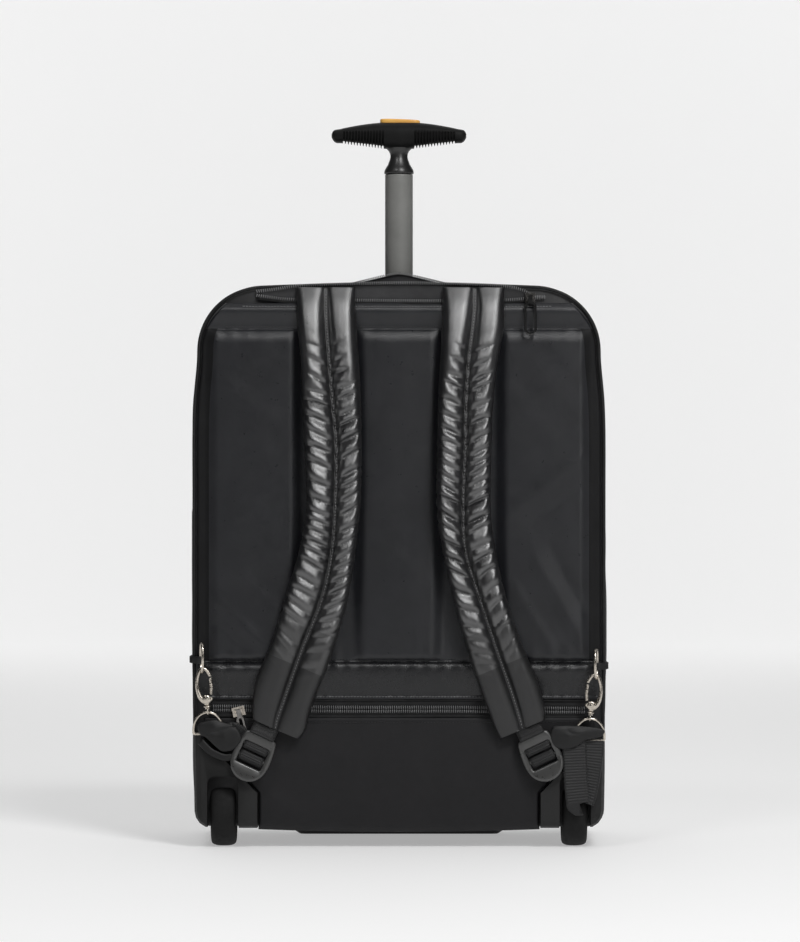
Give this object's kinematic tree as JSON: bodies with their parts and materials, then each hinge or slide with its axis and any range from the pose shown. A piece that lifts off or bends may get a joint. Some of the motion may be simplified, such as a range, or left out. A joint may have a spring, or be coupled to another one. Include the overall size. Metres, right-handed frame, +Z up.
{
  "type": "wheeled backpack",
  "caption": "Upright soft wheeled backpack with padded rear panel, clip-on padded shoulder straps, corner wheels, front foot and a telescoping T-handle.",
  "frame": {"origin": "middle of the bag's footprint on the floor", "axes": "+Z up, +Y towards the bag's front, the harness side faces -Y"},
  "size_m": [0.4036, 0.2435, 0.703],
  "materials": {
    "cloth": "matte black woven synthetic",
    "smooth_cloth": "smooth matte black cloth",
    "coated_fabric": "black coated fabric with a soft shine",
    "webbing": "ribbed black webbing",
    "zip": "black zip tape and coil",
    "anodised_tube": "dark grey anodised",
    "black_plastic": "moulded black",
    "grey_plastic": "moulded dark grey, fine grain",
    "orange_plastic": "yellow orange",
    "tyre": "dark grey wheel tread",
    "steel": "plain steel",
    "nickel": "warm polished nickel",
    "dark_metal": "dark polished zinc",
    "gloss_black": "glossy black"
  },
  "bodies": {
    "bag": {"shell": "cloth", "back_panel": "coated_fabric", "lower_back_panel": "smooth_cloth", "rear_piping": "cloth", "front_piping": "cloth", "main_zip": "zip", "strap_pocket_zip": "zip", "lower_zip": "zip", "handle_zip": "zip", "outer_tube": "anodised_tube", "tube_collar": "black_plastic", "wheel_housing_left": "grey_plastic", "wheel_housing_right": "grey_plastic", "axle_left": "steel", "axle_right": "steel", "front_foot": "black_plastic", "shoulder_strap_left": "coated_fabric", "shoulder_strap_right": "coated_fabric", "strap_webbing_left": "webbing", "strap_webbing_right": "webbing", "ladder_lock_left": "grey_plastic", "ladder_lock_right": "grey_plastic", "adjust_webbing_left": "webbing", "adjust_webbing_right": "webbing", "side_tab_left": "webbing", "side_tab_right": "webbing", "side_ring_left": "nickel", "side_ring_right": "nickel", "snap_hook_left": "nickel", "snap_hook_right": "nickel", "hook_swivel_left": "nickel", "hook_swivel_right": "nickel", "strap_ring_left": "nickel", "strap_ring_right": "nickel", "strap_tab_left": "coated_fabric", "strap_tab_right": "coated_fabric", "top_slider": "dark_metal", "lower_slider": "dark_metal"},
    "handle": {"inner_tube": "anodised_tube", "handle_neck": "black_plastic", "handle_grip": "black_plastic"},
    "button": {"release_button": "orange_plastic"},
    "wheel_left": {"tyre_left": "tyre", "hub_left": "black_plastic"},
    "wheel_right": {"tyre_right": "tyre", "hub_right": "black_plastic"},
    "gate_left": {"hook_gate_left": "nickel"},
    "gate_right": {"hook_gate_right": "nickel"},
    "top_pull": {"top_pull": "gloss_black"},
    "lower_pull": {"lower_pull": "dark_metal"}
  },
  "joints": [
    {"name": "handle_slide", "type": "slide", "parent": "bag", "child": "handle", "axis": [0, 0, 1], "range_m": [-0.096, 0.3]},
    {"name": "button_press", "type": "slide", "parent": "handle", "child": "button", "axis": [0, 0, -1], "range_m": [0, 0.003], "stiffness_N_per_m": 800},
    {"name": "wheel_left_spin", "type": "hinge", "parent": "bag", "child": "wheel_left", "pos_m": [-0.169, -0.062, 0.033], "axis": [1, 0, 0], "continuous": true},
    {"name": "wheel_right_spin", "type": "hinge", "parent": "bag", "child": "wheel_right", "pos_m": [0.169, -0.062, 0.033], "axis": [1, 0, 0], "continuous": true},
    {"name": "hook_gate_left_turn", "type": "hinge", "parent": "bag", "child": "gate_left", "pos_m": [-0.17935, -0.1026, 0.14536], "axis": [0, -1, 0], "range_deg": [0, 20], "stiffness_Nm_per_rad": 0.02},
    {"name": "hook_gate_right_turn", "type": "hinge", "parent": "bag", "child": "gate_right", "pos_m": [0.17935, -0.1026, 0.13936], "axis": [0, 1, 0], "range_deg": [0, 20], "stiffness_Nm_per_rad": 0.02},
    {"name": "top_pull_swing", "type": "hinge", "parent": "bag", "child": "top_pull", "pos_m": [0.126, -0.0928, 0.5283], "axis": [-1, 0, 0], "range_deg": [0, 80]},
    {"name": "lower_pull_swing", "type": "hinge", "parent": "bag", "child": "lower_pull", "pos_m": [-0.154, -0.0928, 0.131], "axis": [-0.9713, 0, -0.2377], "range_deg": [0, 60]}
  ]
}
